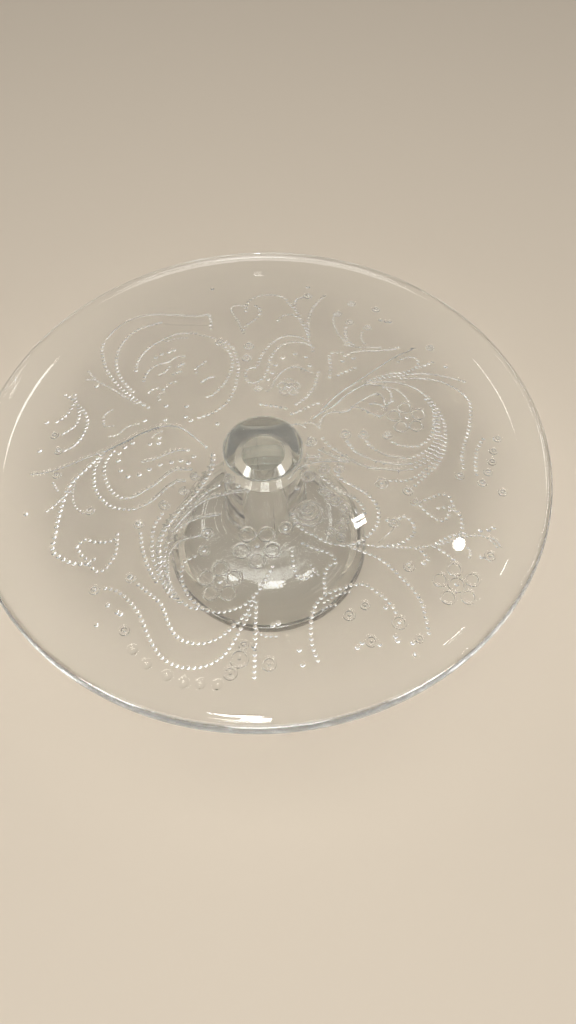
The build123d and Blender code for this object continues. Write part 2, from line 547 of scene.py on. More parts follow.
def front_right_teardrop() -> Motif:
    """The teardrop with a row of ring dots, and the stems and leaves beyond it.

    Returns:
        The motif.
    """
    return Motif(
        rows=[
            row((25.5, -10), (27.3, -13.5), (31.5, -16.3), (35.5, -19.3), (38.3, -23), (39.2, -27),
                (38.5, -31), (36, -34.7), (32, -38), (27, -39.2)),
            row((20.5, -12), (23, -15), (27, -18.5), (31, -20.8), (33.7, -24), (34.4, -27)),
            row((10.3, -27), (11.5, -31), (14, -33.5), (18, -35.7), (21.5, -38), (26, -39)),
            row((28, -38.9), (32, -38.7), (40, -39.8), (50, -40), (56, -39.4), (60, -38.5), (64, -36.8),
                (70, -35.7), (73, -36), (75.5, -38), (76.7, -40), bead=Bead.FINE),
            row((56, -39.4), (60, -37), (63, -35.7), (67, -34.8)),
            row((56.5, -39.8), (59, -41.5), (62, -44.3)),
            row((50.5, -40.3), (52.7, -42), (53.8, -44.5)),
            row((29, -39.5), (33, -41.5), (37, -43.3), (40.5, -46), (44, -50), (48, -55), (50.3, -59.5),
                (51, -64), (51.5, -69.5)),
            row((46, -29), (48, -28.5), (50.3, -31), (50.3, -34.5), (48, -37), (44, -39), (38, -39.6)),
            row((53.5, -22.5), (57, -21.2), (60.5, -19.7), (63.5, -20.5), (64.4, -23.5), (64.7, -26)),
            row((53.5, -24.3), (56, -27.5), (59.5, -30), (62, -28.8), (63, -26)),
            row((59.3, -25.2), (63.3, -24.6)),
            row((65.5, -26.3), (66.7, -29), (66.4, -32.5), (65.5, -36)),
            row((67.3, -40.3), (68, -42), (67.3, -43.7), bead=Bead.FINE),
        ],
        ribs=[
            Rib(((20, -13), (20.6, -15.7), (24, -18.7), (27.5, -22.3), (29.8, -26.5)), width=1.3),
            Rib(((43.5, -33), (41, -35.5), (38.5, -37.7)), width=0.9, height=0.25),
            Rib(((75.3, -36.3), (77.3, -38), (78.1, -40)), width=1.1, height=0.35),
        ],
        rings=[
            RingDot((15.8, -12), radius=2.1, dot=0.4),
            *[RingDot(at, radius=1.2) for at in ((20.8, -18.3), (22.7, -20.2), (26.2, -36.2), (51.7, -22.7))],
            *[RingDot(at, radius=1.5) for at in ((24.8, -22.4), (28, -24.8), (23, -34), (21.4, -9),
                                                (26.6, -8.8), (44, -30.7), (74, -43.3), (47.5, -47))],
            *[RingDot(at, radius=1.9) for at in ((28.5, -28.8), (26, -32.4))],
            RingDot((15.3, -25.5), radius=1.9),
            RingDot((15.6, -26.3), radius=3.3),
            RingDot((16, -27), radius=4.7),
        ],
        dots=[(42, -29.7), (72.3, -33.8), (75, -33.6), (76.8, -32.7), (71.3, -43.6), (52.3, -45.7),
              (12, -17), (62, -53.3)],
        flowers=[
            Flower((62, -53.3), spread=5.4, petal_radius=2.2, turned=18),
            Flower((62, -53.3), petals=1, spread=0.0, petal_radius=2.5),
        ],
    )


def front_right_plume() -> Motif:
    """The open plume and the leaf in front, to the right.

    Returns:
        The motif.
    """
    return Motif(
        rows=[
            row((42.8, -66), (41.5, -61.5), (39, -58), (36, -55.3), (33, -53.2), (29.5, -53.3),
                (25, -54.7), (21, -56.3), (18, -59), (16.3, -63), (15.6, -68), (15.9, -73), (17.5, -78),
                head=2.0),
            row((28, -55.7), (24, -56.8), (20, -59.3), bead=Bead.FINE),
            row((19.5, -61.5), (21.3, -60.6), (23.3, -60.2), bead=Bead.FINE),
            row((13.5, -38.3), (18, -40.5), (22, -42), (24.2, -45), (22, -46.5), (20.5, -49.3),
                (20.2, -53), (20.4, -56)),
            row((10, -41), (10.6, -47), (12.3, -50.7), (15, -50.8), (17.3, -48.5)),
            row((16, -46.3), (18.3, -49.7), bead=Bead.FINE),
            row((-0.7, -68.8), (1.5, -70.2), (5, -70.3), bead=Bead.FINE),
        ],
        rings=[
            RingDot((27.5, -63.5)),
            RingDot((32.6, -60.3), radius=1.2),
            RingDot((33.8, -72)),
            RingDot((3, -79), radius=1.9),
            RingDot((48.5, -71.3), radius=1.1),
        ],
        dots=[(31, -72.5), (29.5, -74), (36.2, -73), (41.3, -70.5), (41.8, -71.9), (46.3, -72.6),
              (47, -76), (48.5, -76), (39, -61), (12, -74.7), (13, -79.3), (4, -66.9), (5.7, -66.2)],
    )


def front_left_medallion() -> Motif:
    """The largest medallion: long scrolls that sweep round a flower, in front and to the left.

    Returns:
        The motif.
    """
    return Motif(
        rows=[
            rope((-17.6, -3), (-17.5, -6.5), (-18.7, -11), (-20.7, -15.3), (-24, -20.7), (-28, -26),
                 (-31, -31), (-32.7, -35.3), (-33.3, -40), (-32.5, -45), bead=Bead.BOLD),
            rope((-15, -15.7), (-18, -17.7), (-21, -20.4), (-24, -24), bead=Bead.PLAIN),
            rope((-5, -18), (-9, -18.3), (-13, -19.3), (-17, -20.3), (-20.5, -22.3), (-24, -25.5),
                 (-27, -29.5), (-29.5, -33.5), bead=Bead.PLAIN),
            rope((-14.5, -27.3), (-19, -27.9), (-23, -29.3), (-26.5, -31.7), (-29, -34.7), (-30.7, -38.5),
                 (-31.3, -43), bead=Bead.PLAIN),
            row((-31.2, -44.5), (-30.2, -48.5), (-28.5, -53), (-25.5, -57.8), (-21.5, -60.7),
                (-18, -61.3)),
            row((-32.3, -46.5), (-31, -51), (-28.5, -55.5), (-25.3, -58.8)),
            row((-18, -34.3), (-20.5, -35.3), head=1.7),
            rope((-21.5, -35.7), (-25.5, -36.7), (-28.3, -39), (-29.9, -42.5), (-29.8, -47)),
            row((-29.6, -48.5), (-28.7, -53), (-26.3, -57)),
            row((-18.6, -41), (-21.5, -43), (-24.3, -44.8), (-25.4, -48.5), (-24.5, -53), (-22, -57.5),
                (-17.5, -61.3), (-13, -62.4), (-9, -61.7), (-4.5, -59.7), (-1.5, -56.5), (0.7, -53),
                (2.5, -49.5), (3.8, -46.7), head=1.7),
            row((-32.8, -23.6), (-33.2, -26.7), (-35.3, -31), (-35.8, -36), (-35, -43), (-32.7, -48.7),
                (-30, -54), (-28, -57), head=1.5),
            row((-40.8, -31), (-39.8, -34.5), (-38.7, -40), (-36.5, -46), (-33, -52), head=1.3),
            row((-41.3, -50.7), (-38, -53.5), (-34.3, -56.5), (-30.7, -60), (-28.5, -65), (-26, -69.3),
                (-22.5, -71.8), (-17.5, -72.5), (-12.5, -70.7), (-8.5, -67.5), (-4.5, -63), (-2, -58.5),
                head=1.3),
            row((-52.3, -54.8), (-49, -54.3), (-45.5, -55), (-41, -58.5), (-37.3, -63), (-34.5, -68.7),
                (-31.5, -74), (-28, -77.7), (-23.5, -79.7), (-18.5, -80), (-13.5, -78.3), (-9.7, -75),
                (-6.3, -69), (-3.3, -63.3), head=1.3),
            row((-47.5, -34.8), (-49, -37.2), (-54, -37.7), (-57.8, -36.8), (-60, -39.4)),
            row((-60, -39.5), (-58.3, -42.3), (-55, -44.8), (-53.8, -43.9)),
            row((-47.2, -36.7), (-47.3, -42), (-49.3, -46.8), (-52.3, -48.4), (-55, -46)),
            row((-1.2, -59), (-1.3, -70), (-1.3, -83)),
        ],
        ribs=[Rib(((-24, -25.5), (-28, -31), (-30.3, -36)), width=1.2, height=0.3)],
        rings=[
            RingDot((-41.2, -68.4), radius=1.3),
            RingDot((-8.4, -81.8), radius=1.8),
            RingDot((-5.9, -77.3), radius=2.6),
            RingDot((-11.4, -13.2)),
            RingDot((-4.7, -73), radius=1.2),
        ],
        dots=[(-47.4, -60), (-44.2, -62.3), (-43, -63), (-50, -66.5), (-8.3, -16), (-1.7, -73.5)],
        bosses=[(-38, -74.5), (-33.3, -79), (-27, -82.5), (-22, -84.7), (-17, -85), (-12, -85.3)],
        flowers=[
            Flower((-12.8, -52), spread=4.6, petal_radius=2.4),
            Flower((-1.3, -39.3), spread=5.3, petal_radius=2.5, turned=55),
            Flower((8, -32.7), petals=1, spread=0.0, petal_radius=2.0),
        ],
    )


def left_medallion() -> Motif:
    """Nested rows and dots to the left of the stem, and the sprays beyond them.

    Returns:
        The motif.
    """
    return Motif(
        rows=[
            row((-55.5, -1), (-57.5, -5.5), (-58.5, -10), (-57.5, -16), (-55, -20.5), (-51, -24),
                (-46, -25.2), (-43, -25)),
            rope((-42.5, -24.9), (-39.5, -23.3), (-36, -20.5), (-32.5, -16.3), (-29.5, -14.1),
                 (-27, -13.8), bead=Bead.PLAIN),
            row((-52.8, -1.3), (-54.7, -5), (-55.2, -9), (-53.8, -14), (-51, -18.5), (-47.5, -20.7),
                (-44.5, -20.4)),
            rope((-43.5, -20), (-40, -17.5), (-36.5, -14.8), (-33, -11), (-30, -9), (-25, -9),
                 bead=Bead.PLAIN),
            rope((-42, -5.6), (-38, -4.5), (-34, -2.3), (-30, -0.7), (-26.5, -0.8), bead=Bead.PLAIN),
            row((-57, -2.5), (-60, -6.8), (-64, -12), (-66.5, -16.5), (-67.4, -22), (-67.9, -29),
                (-68, -36), (-67.7, -41), (-64.5, -43.5), (-60.5, -45.4), (-56, -45.6), bead=Bead.BOLD),
            row((-72, -25.7), (-70.3, -24), (-68, -20.7), (-65.8, -18)),
            row((-64.4, -13), (-64.6, -19), (-63, -24), (-60, -26.6), bead=Bead.FINE),
            row((-72, -14.5), (-70, -17.7), bead=Bead.FINE),
            row((-70.5, 19.8), (-71.2, 17), (-72.7, 14.2), (-75, 12)),
            row((-74, 24.5), (-71, 22.5), (-69, 20), (-67.7, 16.5), (-67.4, 13.5), (-68.5, 9.8),
                (-72, 6.5)),
            row((-70.5, 24.7), (-69.5, 21), (-66, 16.8), (-64, 12), (-64.3, 8), (-65.5, 4), (-67.5, 1),
                (-70, -0.8)),
            row((-39.7, 5.2), (-38.3, 6.8), (-36.8, 7.5), bead=Bead.FINE),
        ],
        rings=[
            RingDot(at, radius=1.2)
            for at in ((-57.8, -25.7), (-74.9, 5.9), (-72.3, -1), (-23.3, -12), (-26.7, -18), (-71.2, -11.2))
        ],
        dots=[(-46.6, 2.4), (-49, 0.6), (-40.3, 1.9), (-37.2, 4.7), (-37.3, 2.3), (-50.8, -2),
              (-50.7, -5.3), (-49.4, -9.5), (-46.5, -12), (-42.7, -11.2), (-39.4, -9), (-35.8, -7),
              (-32, -6), (-28.7, -5.3), (-26, -6.3), (-24.3, -3.6), (-79, -1), (-79, -27)],
    )


@dataclass
class Relief:
    """Every raised thing of the ornament, as arrays, and the height that they give the surface.

    A dot, a rib and a ring all have the same section, height * (1 - (d / reach)^2)^1.5, where d is the
    distance from the middle. It leaves the flat glass without a corner, as a punched mould does. Where
    two of them meet, the higher one stands. dot_circles gives the circles of points on a dot, as a
    share of its radius and a count, and shifts the lines of points on a rib or ring, as shares of its
    reach. The outermost lie just past the edge, so that the faces beyond them are flat.
    """

    motifs: list[Motif]
    ring_reach: float = 0.65
    ring_height: float = 0.4
    boss_radius: float = 2.1
    boss_height: float = 0.7
    ring_step: float = 0.75
    rib_step: float = 1.0
    dot_circles: tuple[tuple[float, int], ...] = ((0.38, 6), (0.72, 8), (1.06, 9))
    shifts: tuple[float, ...] = (-1.06, -0.5, 0.0, 0.5, 1.06)
    least_circle: float = 0.2

    def __post_init__(self) -> None:
        """Work out the arrays of dots, rings and ribs from the motifs."""
        dots, rings, ribs = [], [], []
        for motif in self.motifs:
            for beads in motif.rows:
                places = curve_through(beads.points, beads.bead.pitch)
                if beads.head:
                    rings.append((*beads.points[0], beads.head))
                    gap = np.linalg.norm(places - places[0], axis=1) > beads.head + self.ring_reach
                    places = np.vstack([places[:1], places[gap]])
                dots += [(x, y, beads.bead.radius, beads.bead.height) for x, y in places]
            for rib in motif.ribs + [core for beads in motif.rows for core in beads.core()]:
                ribs.append((curve_through(rib.points, self.rib_step), rib.width / 2, rib.height))
            for ring in motif.rings:
                rings.append((*ring.centre, ring.radius))
                dots.append((*ring.centre, ring.dot, ring.dot / 2))
            dots += [(x, y, Bead.BOLD.radius, Bead.BOLD.height) for x, y in motif.dots]
            dots += [(x, y, self.boss_radius, self.boss_height) for x, y in motif.bosses]
            for flower in motif.flowers:
                angles = radians(flower.turned) + np.arange(flower.petals) * 2 * pi / flower.petals
                middle = np.array(flower.centre)
                spokes = np.stack([np.cos(angles), np.sin(angles)], axis=1) * flower.spread
                rings += [(x, y, flower.petal_radius) for x, y in middle + spokes]
                dots.append((*flower.centre, Bead.BOLD.radius, Bead.BOLD.height))
        self.dots = np.array(dots)
        self.rings = np.array(rings)
        self.ribs = ribs

    @staticmethod
    def section(distance: np.ndarray, reach: np.ndarray, height: np.ndarray) -> np.ndarray:
        """The height at a distance from the middle of a dot, ring or rib."""
        return height * np.clip(1 - (distance / reach) ** 2, 0, None) ** 1.5

    def height(self, at: np.ndarray) -> np.ndarray:
        """How far the ornament stands out of the plate.

        Args:
            at: Rows of x and y.

        Returns:
            The height at each row.
        """
        rise = np.zeros(len(at))
        for x, y, radius, height in self.dots:
            near = np.flatnonzero((np.abs(at[:, 0] - x) < radius) & (np.abs(at[:, 1] - y) < radius))
            away = np.hypot(at[near, 0] - x, at[near, 1] - y)
            rise[near] = np.maximum(rise[near], self.section(away, radius, height))
        for x, y, radius in self.rings:
            reach = radius + self.ring_reach
            near = np.flatnonzero((np.abs(at[:, 0] - x) < reach) & (np.abs(at[:, 1] - y) < reach))
            away = np.abs(np.hypot(at[near, 0] - x, at[near, 1] - y) - radius)
            rise[near] = np.maximum(
                rise[near], self.section(away, self.ring_reach, self.ring_height)
            )
        for path, reach, height in self.ribs:
            low, high = path.min(axis=0) - reach, path.max(axis=0) + reach
            near = np.flatnonzero(np.all((at > low) & (at < high), axis=1))
            start, way = path[:-1], np.diff(path, axis=0)
            offset = at[near, None] - start
            share = np.clip((offset * way).sum(2) / (way**2).sum(1), 0, 1)
            away = np.linalg.norm(offset - share[..., None] * way, axis=2).min(axis=1)
            rise[near] = np.maximum(rise[near], self.section(away, reach, height))
        return rise

    def slope(self, at: np.ndarray, reach: float = 0.02) -> np.ndarray:
        """The slope of the height along x and y, from its difference over a short reach.

        Args:
            at: Rows of x and y.
            reach: How far either side of a row the height is taken.

        Returns:
            The two slopes at each row.
        """
        steps = reach * np.eye(2)
        return np.stack(
            [(self.height(at + step) - self.height(at - step)) / (2 * reach) for step in steps], axis=1
        )

    def sample_points(self) -> np.ndarray:
        """The points that the ornament needs: circles on dots and rings, and lines along ribs.

        Returns:
            The points as rows of x and y.
        """
        found = [self.dots[:, :2]]
        for share, count in self.dot_circles:
            turn = np.arange(count) * 2 * pi / count + share
            spokes = np.stack([np.cos(turn), np.sin(turn)], axis=1)
            found.append(
                (self.dots[:, None, :2] + share * self.dots[:, None, 2:3] * spokes).reshape(-1, 2)
            )
        for x, y, radius in self.rings:
            for shift in self.shifts:
                size = radius + shift * self.ring_reach
                if size > self.least_circle:
                    count = max(6, round(2 * pi * size / self.ring_step))
                    turn = np.arange(count) * 2 * pi / count
                    found.append(np.stack([x + size * np.cos(turn), y + size * np.sin(turn)], axis=1))
        for path, reach, _ in self.ribs:
            way = np.gradient(path, axis=0)
            way /= np.linalg.norm(way, axis=1)[:, None]
            aside = np.stack([-way[:, 1], way[:, 0]], axis=1)
            found += [path + shift * reach * aside for shift in self.shifts]
        return np.vstack(found)


# ---------------------------------------------------------------------------------------------
# Finishes
# ---------------------------------------------------------------------------------------------


def linear(code: str) -> tuple[float, float, float, float]:
    """Turn an sRGB hex colour into linear light.

    Args:
        code: The colour, such as "#c8c2b8".

    Returns:
        Red, green, blue and an alpha of 1.
    """
    encoded = np.array([int(code[i : i + 2], 16) for i in (1, 3, 5)]) / 255
    light = np.where(encoded <= 0.04045, encoded / 12.92, ((encoded + 0.055) / 1.055) ** 2.4)
    return (*light.tolist(), 1.0)


def add_node(
    tree: bpy.types.NodeTree, kind: str, settings: dict, **links: bpy.types.NodeSocket
) -> bpy.types.Node:
    """Add a node with its settings, its values and its links.

    Args:
        tree: The node tree.
        kind: The node's type name.
        settings: The node's own properties by name, and its sockets' values by socket name.
        links: The sockets that feed its inputs, by input name with _ for a space.

    Returns:
        The new node.
    """
    node = tree.nodes.new(kind)
    for name, value in settings.items():
        if name in node.inputs:
            node.inputs[name].default_value = value
        else:
            setattr(node, name, value)
    for name, socket in links.items():
        tree.links.new(socket, node.inputs[name.replace("_", " ")])
    return node


@dataclass(frozen=True)
class ClearSolid:
    """A clear solid whose faces are slightly wavy, which bends what shows through them.

    The waves are a bump wave_height high and about wave_length apart.
    """

    name: str
    tint: str
    index: float
    roughness: float
    wave_length: float
    wave_height: float

    def material(self) -> bpy.types.Material:
        """Make the material.

        Returns:
            The material.
        """
        made = bpy.data.materials.new(self.name)
        made.use_nodes = True
        tree = made.node_tree
        tree.nodes.clear()
        place = add_node(tree, "ShaderNodeTexCoord", {})
        waves = add_node(
            tree,
            "ShaderNodeTexNoise",
            {"Scale": 1 / (self.wave_length * MM), "Detail": 1.0, "Roughness": 0.4},
            Vector=place.outputs["Object"],
        )
        bump = add_node(
            tree,
            "ShaderNodeBump",
            {"Strength": 1.0, "Distance": self.wave_height * MM},
            Height=waves.outputs["Fac"],
        )
        solid = add_node(
            tree,
            "ShaderNodeBsdfPrincipled",
            {
                "Base Color": linear(self.tint),
                "Roughness": self.roughness,
                "IOR": self.index,
                "Transmission Weight": 1.0,
            },
            Normal=bump.outputs["Normal"],
        )
        add_node(tree, "ShaderNodeOutputMaterial", {}, Surface=solid.outputs["BSDF"])
        return made


@dataclass(frozen=True)
class PressedGlass(ClearSolid):
    """Soda-lime glass pressed hot between iron moulds, then polished with a flame.

    The flame leaves it as smooth as a liquid, so it is clear and gives sharp highlights, but the mould
    leaves its flat sides with faint waves about 17 mm long.
    """

    name: str = "pressed_soda_lime_glass"
    tint: str = "#fdfefd"
    index: float = 1.52
    roughness: float = 0.0
    wave_length: float = 17.0
    wave_height: float = 0.03


@dataclass(frozen=True)
class CuredAdhesive(ClearSolid):
    """Clear adhesive cured between two pieces of glass.

    It nearly has their index, so it hardly shows, but it cures with a slight ripple about 5 mm long.
    """

    name: str = "cured_clear_adhesive"
    tint: str = "#fcfdfb"
    index: float = 1.49
    roughness: float = 0.02
    wave_length: float = 5.0
    wave_height: float = 0.01


# ---------------------------------------------------------------------------------------------
# Pieces
# ---------------------------------------------------------------------------------------------


def dressed(piece: bpy.types.Object, node: str, finish: bpy.types.Material) -> None:
    """Give a piece its finish and put it in its CAD node's place.

    Args:
        piece: The piece's object.
        node: The CAD node that it stands for.
        finish: The material.
    """
    piece.data.materials.append(finish)
    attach(piece, "root")
    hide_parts(node)
    log.info("%s: %d faces", piece.name, len(piece.data.polygons))


@dataclass
class PressedPlate:
    """The plate: a flat disc whose rim turns up, with the ornament pressed into its underside.

    Inside the rim's last ring, the underside's points keep edge_margin from it and about nearest from
    one another.
    """

    diameter: float
    low: float
    high: float
    thickness: float = 4.0
    bend_radius: float = 16.0
    bend_angle: float = 28.0
    copies: int = 360
    top_steps: int = 10
    lip_steps: int = 36
    under_steps: int = 12
    flat_spacing: float = 3.2
    nearest: float = 0.16
    edge_margin: float = 1.0

    def outline(self) -> Outline:
        """The section from the flat top, over the lip, to the flat underside.

        The wall's middle line bends up on an arc of bend_radius through bend_angle, and ends in the
        middle of the round lip. The top and the underside are arcs half a thickness either side.

        Returns:
            The outline, from the axis on top to the edge of the flat underside.
        """
        half = self.thickness / 2
        lip = (self.diameter / 2 - half, self.high - half)
        bend_run = self.bend_radius * np.sin(radians(self.bend_angle))
        bend = (lip[0] - bend_run, self.low + half + self.bend_radius)
        end = self.bend_angle - 90
        top = Outline.arc(bend, self.bend_radius - half, -90, end, self.top_steps, side=-1)
        edge = Outline.arc(lip, half, end + 180, end, self.lip_steps)
        under = Outline.arc(bend, self.bend_radius + half, end, -90, self.under_steps)
        middle = Outline(np.array([[0.0, self.low + self.thickness]]), np.array([[0.0, 1.0]]))
        skip = Outline(edge.places[1:-1], edge.normals[1:-1])
        return middle.then(top).then(skip).then(under)

    def surface(self, relief: Relief) -> Surface:
        """The closed surface: the turned top and rim, and the underside as a height field.

        The underside's points are the rim's last ring, the ornament's own points and an even lattice
        between them, joined by Delaunay triangles. Each lies at the plate's underside less the
        ornament's height there.

        Args:
            relief: The ornament.

        Returns:
            The plate's surface.
        """
        outline = self.outline()
        angles = np.arange(self.copies) * 2 * pi / self.copies
        rim = outline.turned(angles)
        edge_index = np.arange(self.copies) * len(outline.places) + len(outline.places) - 1
        edge = rim.points[edge_index, :2]
        inside = np.vstack([relief.sample_points(), self.lattice(edge[0, 0])])
        inside = inside[np.hypot(*inside.T) < edge[0, 0] - self.edge_margin]
        _, first = np.unique(np.round(inside / self.nearest), axis=0, return_index=True)
        inside = inside[np.sort(first)]
        flat = np.vstack([edge, inside])
        _, _, triangles, sources, _, _ = delaunay_2d_cdt(
            [Vector(place) for place in flat.tolist()], [], [], 0, 1e-6
        )
        source = np.array([origins[0] for origins in sources])
        slope = relief.slope(inside)
        below = np.column_stack([inside, self.low - relief.height(inside)])
        leaning = np.column_stack([-slope, -np.ones(len(inside))])
        leaning /= np.linalg.norm(leaning, axis=1)[:, None]
        own = np.concatenate([edge_index, len(rim.points) + np.arange(len(inside))])
        faces = own[source[np.array(triangles)]][:, ::-1]
        return Surface(
            np.vstack([rim.points, below]),
            np.vstack([rim.normals, leaning]),
            rim.faces + [faces],
        )

    def lattice(self, reach: float) -> np.ndarray:
        """Points of an even triangular lattice over the flat underside.

        Args:
            reach: Half the side of the square that the lattice fills.

        Returns:
            The points as rows of x and y.
        """
        rows = np.arange(-reach, reach, self.flat_spacing * np.sqrt(3) / 2)
        across = np.arange(-reach, reach, self.flat_spacing)
        shift = np.where(np.arange(len(rows)) % 2, self.flat_spacing / 2, 0.0)
        x = across[None, :] + shift[:, None]
        y = np.broadcast_to(rows[:, None], x.shape)
        return np.stack([x.ravel(), y.ravel()], axis=1)

    def build(self, relief: Relief, finish: bpy.types.Material) -> bpy.types.Object:
        """Build and dress the plate.

        Args:
            relief: The ornament.
            finish: The glass.

        Returns:
            The plate's object.
        """
        piece = self.surface(relief).as_object("pressed_plate")
        dressed(piece, "plate", finish)
        return piece


@dataclass
class HollowPedestal:
    """The stem and bell foot: one hollow piece of glass, with the mould's two parting seams.

    The plunger that leaves the hollow has a bevelled nose: hollow_bevel is its run and its drop. The
    wall is even round the shoulder, the bend and the hem, so the hollow's roundings there are the
    outside's with the wall taken off, or added on. Round each seam, seam_copies copies of the section
    stand within seam_spread degrees, and the seam dies away over seam_fade, seam_end from each end.
    """

    top: float
    foot_diameter: float = 85.0
    stem_top_diameter: float = 28.2
    stem_base_diameter: float = 34.0
    shoulder_height: float = 25.0
    bell_drop: float = 3.0
    bell_side_run: float = 6.5
    foot_edge_height: float = 3.0
    wall: float = 4.2
    roof: float = 5.0
    hollow_top_diameter: float = 15.4
    hollow_base_diameter: float = 22.0
    hollow_bevel: Pair = (2.9, 4.38)
    hollow_bevel_roundings: Pair = (1.0, 0.6)
    top_bevel: float = 0.6
    top_bevel_roundings: Pair = (0.15, 0.3)
    shoulder_rounding: float = 6.0
    bend_rounding: float = 18.0
    hem_rounding: float = 6.0
    ring_roundings: Pair = (1.2, 0.2)
    copies: int = 240
    seam_angles: Pair = (-76.0, 104.0)
    seam_width: float = 0.7
    seam_height: float = 0.15
    seam_spread: float = 1.5
    seam_copies: int = 25
    seam_end: float = 0.8
    seam_fade: float = 1.5

    def inwards(self, before: Point, corner: Point, after: Point) -> np.ndarray:
        """Move a corner into the glass, so that both its sides move by the wall.

        Args:
            before: The outside's corner before it.
            corner: The corner.
            after: The corner after it.

        Returns:
            The corner of the hollow.
        """
        first = np.subtract(corner, before) / np.linalg.norm(np.subtract(corner, before))
        second = np.subtract(after, corner) / np.linalg.norm(np.subtract(after, corner))
        a, b = np.array([first[1], -first[0]]), np.array([second[1], -second[0]])
        return np.array(corner) + (a + b) * (self.wall / (1 + a @ b))

    def outline(self) -> Outline:
        """The section: down the outside, in along the standing ring and up the hollow.

        Returns:
            The outline, from the axis on top to the axis at the hollow's roof.
        """
        foot = self.foot_diameter / 2
        shoulder = (self.stem_base_diameter / 2, self.shoulder_height)
        bend = (foot - self.bell_side_run, self.shoulder_height - self.bell_drop)
        hem = (foot, self.foot_edge_height)
        inner_hem = self.inwards(bend, hem, (foot, 0.0))
        inner_bend = self.inwards(shoulder, bend, hem)
        fall = (bend[1] - shoulder[1]) / (bend[0] - shoulder[0])
        base = self.hollow_base_diameter / 2
        throat = (base, inner_bend[1] + fall * (base - inner_bend[0]))
        roof = self.top - self.roof
        top = self.stem_top_diameter / 2
        nose = self.hollow_top_diameter / 2
        bevel_run, bevel_drop = self.hollow_bevel
        down = [
            (0.0, self.top, 0.0),
            (top - self.top_bevel, self.top, self.top_bevel_roundings[0]),
            (top, self.top - self.top_bevel, self.top_bevel_roundings[1]),
            (*shoulder, self.shoulder_rounding),
            (*bend, self.bend_rounding),
            (*hem, self.hem_rounding),
            (foot, 0.0, self.ring_roundings[0]),
            (inner_hem[0], 0.0, self.ring_roundings[1]),
            (*inner_hem, self.hem_rounding - self.wall),
            (*inner_bend, self.bend_rounding - self.wall),
            (*throat, self.shoulder_rounding + self.wall),
            (nose + bevel_run, roof - bevel_drop, self.hollow_bevel_roundings[0]),
            (nose, roof, self.hollow_bevel_roundings[1]),
            (0.0, roof, 0.0),
        ]
        return Outline.rounded(down)

    def surface(self) -> Surface:
        """The closed surface, with both seams standing out of the stem and the bell.

        A seam is seam_height * (1 - (d / half its width)^2) high at d from its middle, and dies away
        towards the standing ring and the top.

        Returns:
            The pedestal's surface.
        """
        outline = self.outline()
        even = np.arange(self.copies) * 2 * pi / self.copies
        spread = np.linspace(-self.seam_spread, self.seam_spread, self.seam_copies)
        fine = np.radians(np.array(self.seam_angles))[:, None] + np.radians(spread)
        angles = np.unique(np.round(np.mod(np.concatenate([even, fine.ravel()]), 2 * pi), 5))
        r, z = outline.places.T
        outside = np.arange(len(r)) <= np.argmax(r) + 1
        from_end = np.minimum(z - self.seam_end, self.top - self.seam_end - z)
        fade = np.clip(from_end / self.seam_fade, 0, 1) * outside
        from_seam = np.min(
            [np.abs(np.mod(angles - radians(a) + pi, 2 * pi) - pi) for a in self.seam_angles], axis=0
        )
        away = from_seam[:, None] * r / (self.seam_width / 2)
        raised = self.seam_height * np.clip(1 - away**2, 0, None) * fade
        return outline.turned(angles, raised)

    def build(self, finish: bpy.types.Material) -> bpy.types.Object:
        """Build and dress the pedestal.

        Args:
            finish: The glass.

        Returns:
            The pedestal's object.
        """
        piece = self.surface().as_object("hollow_pedestal")
        dressed(piece, "pedestal", finish)
        return piece


@dataclass
class BondFilm:
    """The clear film that holds the stem to the plate, squeezed out all round into a hollow fillet.

    The fillet spreads past the film's own radius by plate_spread on the plate and by stem_spread on
    the stem's bevelled edge, stem_drop below the top of the stem, and is narrowest between them.
    """

    radius: float
    low: float
    high: float
    lap: float = 0.01
    plate_spread: float = 1.05
    waist_spread: float = 0.55
    waist_drop: float = 0.05
    waist_rounding: float = 0.35
    stem_spread: float = 0.67
    stem_drop: float = 0.38
    edge_spread: float = 0.25
    edge_rounding: float = 0.02
    copies: int = 120

    def build(self, finish: bpy.types.Material) -> bpy.types.Object:
        """Build and dress the film.

        It laps each piece of glass by a hundredth of a millimetre, so that light passes from one into
        the other without a gap of air between them.

        Args:
            finish: The adhesive.

        Returns:
            The film's object.
        """
        low, high = self.low - self.lap, self.high + self.lap
        waist = (low + high) / 2 - self.waist_drop
        outline = Outline.rounded(
            [
                (0.0, high, 0.0),
                (self.radius + self.plate_spread, high, 0.0),
                (self.radius + self.waist_spread, waist, self.waist_rounding),
                (self.radius + self.stem_spread, low - self.stem_drop, 0.0),
                (self.radius + self.edge_spread, low, self.edge_rounding),
                (0.0, low, 0.0),
            ],
            chord=30.0,
        )
        piece = outline.turned(np.arange(self.copies) * 2 * pi / self.copies).as_object("bond_layer")
        dressed(piece, "bond_film", finish)
        return piece


# ---------------------------------------------------------------------------------------------
# Studio
# ---------------------------------------------------------------------------------------------


class Face(Enum):
    """The shape of a lamp's face."""

    OBLONG = "RECTANGLE"
    OVAL = "ELLIPSE"


